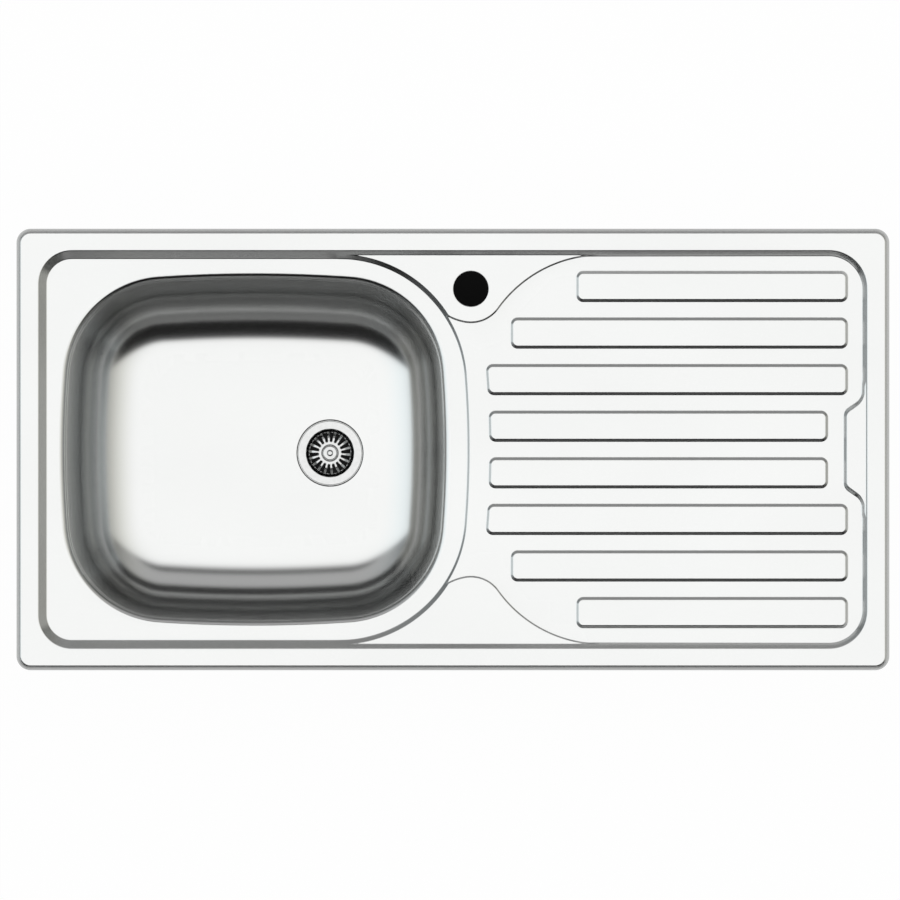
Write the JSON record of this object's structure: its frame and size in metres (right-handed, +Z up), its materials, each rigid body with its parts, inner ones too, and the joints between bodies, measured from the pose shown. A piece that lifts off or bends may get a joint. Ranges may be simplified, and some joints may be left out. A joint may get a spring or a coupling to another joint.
{
  "type": "kitchen sink",
  "caption": "Inset stainless kitchen sink: one deep bowl with a stopper strainer waste, a ribbed drainer, a tap hole, and swing-out clamping clips under the rim.",
  "frame": {"origin": "middle of the outline, on the worktop plane under the rim", "axes": "+X from the bowl to the drainer, +Y to the back edge with the tap hole, +Z up"},
  "size_m": [0.86, 0.435, 0.2098],
  "materials": {
    "satin_stainless": "satin pressed sheet",
    "polished_stainless": "polished",
    "zinc_steel": "zinc plated",
    "foam": "closed-cell foam",
    "bitumen": "embossed bitumen sheet",
    "seal_rubber": "matt",
    "waste_plastic": "moulded polypropylene",
    "brass": "turned"
  },
  "bodies": {
    "sink": {"deck": "satin_stainless", "bowl": "satin_stainless", "sound_pad": "bitumen", "rim_seal": "foam", "rail_front": "zinc_steel", "rail_back": "zinc_steel", "rail_left": "zinc_steel", "rail_right": "zinc_steel", "waste_flange": "polished_stainless", "flange_seal": "seal_rubber", "body_seal": "seal_rubber", "waste_body": "waste_plastic", "body_insert": "brass", "centre_bolt": "polished_stainless"},
    "stopper": {"strainer": "polished_stainless", "strainer_knob": "polished_stainless", "plug_seal": "seal_rubber"},
    "clip_front_1": {"hanger_front_1": "zinc_steel"},
    "claw_front_1": {"claw_front_1": "zinc_steel"},
    "screw_front_1": {"clip_screw_front_1": "zinc_steel"},
    "clip_front_2": {"hanger_front_2": "zinc_steel"},
    "claw_front_2": {"claw_front_2": "zinc_steel"},
    "screw_front_2": {"clip_screw_front_2": "zinc_steel"},
    "clip_front_3": {"hanger_front_3": "zinc_steel"},
    "claw_front_3": {"claw_front_3": "zinc_steel"},
    "screw_front_3": {"clip_screw_front_3": "zinc_steel"},
    "clip_back_1": {"hanger_back_1": "zinc_steel"},
    "claw_back_1": {"claw_back_1": "zinc_steel"},
    "screw_back_1": {"clip_screw_back_1": "zinc_steel"},
    "clip_back_2": {"hanger_back_2": "zinc_steel"},
    "claw_back_2": {"claw_back_2": "zinc_steel"},
    "screw_back_2": {"clip_screw_back_2": "zinc_steel"},
    "clip_back_3": {"hanger_back_3": "zinc_steel"},
    "claw_back_3": {"claw_back_3": "zinc_steel"},
    "screw_back_3": {"clip_screw_back_3": "zinc_steel"},
    "clip_left": {"hanger_left": "zinc_steel"},
    "claw_left": {"claw_left": "zinc_steel"},
    "screw_left": {"clip_screw_left": "zinc_steel"},
    "clip_right": {"hanger_right": "zinc_steel"},
    "claw_right": {"claw_right": "zinc_steel"},
    "screw_right": {"clip_screw_right": "zinc_steel"}
  },
  "joints": [
    {"name": "stopper_lift", "type": "slide", "parent": "sink", "child": "stopper", "axis": [0, 0, 1], "range_m": [0, 0.06]},
    {"name": "front_1_swing", "type": "hinge", "parent": "sink", "child": "clip_front_1", "pos_m": [0.3, -0.2005, -0.009], "axis": [1, 0, 0], "range_deg": [0, 30]},
    {"name": "front_1_climb", "type": "slide", "parent": "clip_front_1", "child": "claw_front_1", "axis": [0, 0, 1], "range_m": [0, 0.016]},
    {"name": "front_1_turn", "type": "hinge", "parent": "claw_front_1", "child": "screw_front_1", "pos_m": [0.3, -0.2037, -0.05], "axis": [0, 0, 1], "range_deg": [0, 7200]},
    {"name": "front_2_swing", "type": "hinge", "parent": "sink", "child": "clip_front_2", "pos_m": [0, -0.2005, -0.009], "axis": [1, 0, 0], "range_deg": [0, 30]},
    {"name": "front_2_climb", "type": "slide", "parent": "clip_front_2", "child": "claw_front_2", "axis": [0, 0, 1], "range_m": [0, 0.016]},
    {"name": "front_2_turn", "type": "hinge", "parent": "claw_front_2", "child": "screw_front_2", "pos_m": [0, -0.2037, -0.05], "axis": [0, 0, 1], "range_deg": [0, 7200]},
    {"name": "front_3_swing", "type": "hinge", "parent": "sink", "child": "clip_front_3", "pos_m": [-0.3, -0.2005, -0.009], "axis": [1, 0, 0], "range_deg": [0, 30]},
    {"name": "front_3_climb", "type": "slide", "parent": "clip_front_3", "child": "claw_front_3", "axis": [0, 0, 1], "range_m": [0, 0.016]},
    {"name": "front_3_turn", "type": "hinge", "parent": "claw_front_3", "child": "screw_front_3", "pos_m": [-0.3, -0.2037, -0.05], "axis": [0, 0, 1], "range_deg": [0, 7200]},
    {"name": "back_1_swing", "type": "hinge", "parent": "sink", "child": "clip_back_1", "pos_m": [-0.3, 0.2005, -0.009], "axis": [-1, 0, 0], "range_deg": [0, 30]},
    {"name": "back_1_climb", "type": "slide", "parent": "clip_back_1", "child": "claw_back_1", "axis": [0, 0, 1], "range_m": [0, 0.016]},
    {"name": "back_1_turn", "type": "hinge", "parent": "claw_back_1", "child": "screw_back_1", "pos_m": [-0.3, 0.2037, -0.05], "axis": [0, 0, 1], "range_deg": [0, 7200]},
    {"name": "back_2_swing", "type": "hinge", "parent": "sink", "child": "clip_back_2", "pos_m": [0, 0.2005, -0.009], "axis": [-1, 0, 0], "range_deg": [0, 30]},
    {"name": "back_2_climb", "type": "slide", "parent": "clip_back_2", "child": "claw_back_2", "axis": [0, 0, 1], "range_m": [0, 0.016]},
    {"name": "back_2_turn", "type": "hinge", "parent": "claw_back_2", "child": "screw_back_2", "pos_m": [0, 0.2037, -0.05], "axis": [0, 0, 1], "range_deg": [0, 7200]},
    {"name": "back_3_swing", "type": "hinge", "parent": "sink", "child": "clip_back_3", "pos_m": [0.3, 0.2005, -0.009], "axis": [-1, 0, 0], "range_deg": [0, 30]},
    {"name": "back_3_climb", "type": "slide", "parent": "clip_back_3", "child": "claw_back_3", "axis": [0, 0, 1], "range_m": [0, 0.016]},
    {"name": "back_3_turn", "type": "hinge", "parent": "claw_back_3", "child": "screw_back_3", "pos_m": [0.3, 0.2037, -0.05], "axis": [0, 0, 1], "range_deg": [0, 7200]},
    {"name": "left_swing", "type": "hinge", "parent": "sink", "child": "clip_left", "pos_m": [-0.413, 0, -0.009], "axis": [0, -1, 0], "range_deg": [0, 30]},
    {"name": "left_climb", "type": "slide", "parent": "clip_left", "child": "claw_left", "axis": [0, 0, 1], "range_m": [0, 0.016]},
    {"name": "left_turn", "type": "hinge", "parent": "claw_left", "child": "screw_left", "pos_m": [-0.4162, 0, -0.05], "axis": [0, 0, 1], "range_deg": [0, 7200]},
    {"name": "right_swing", "type": "hinge", "parent": "sink", "child": "clip_right", "pos_m": [0.413, 0, -0.009], "axis": [0, 1, 0], "range_deg": [0, 30]},
    {"name": "right_climb", "type": "slide", "parent": "clip_right", "child": "claw_right", "axis": [0, 0, 1], "range_m": [0, 0.016]},
    {"name": "right_turn", "type": "hinge", "parent": "claw_right", "child": "screw_right", "pos_m": [0.4162, 0, -0.05], "axis": [0, 0, 1], "range_deg": [0, 7200]}
  ],
  "couplings": [
    {"joint": "front_1_turn", "follows": "front_1_climb", "rad_per_m": 7854},
    {"joint": "front_2_turn", "follows": "front_2_climb", "rad_per_m": 7854},
    {"joint": "front_3_turn", "follows": "front_3_climb", "rad_per_m": 7854},
    {"joint": "back_1_turn", "follows": "back_1_climb", "rad_per_m": 7854},
    {"joint": "back_2_turn", "follows": "back_2_climb", "rad_per_m": 7854},
    {"joint": "back_3_turn", "follows": "back_3_climb", "rad_per_m": 7854},
    {"joint": "left_turn", "follows": "left_climb", "rad_per_m": 7854},
    {"joint": "right_turn", "follows": "right_climb", "rad_per_m": 7854}
  ]
}
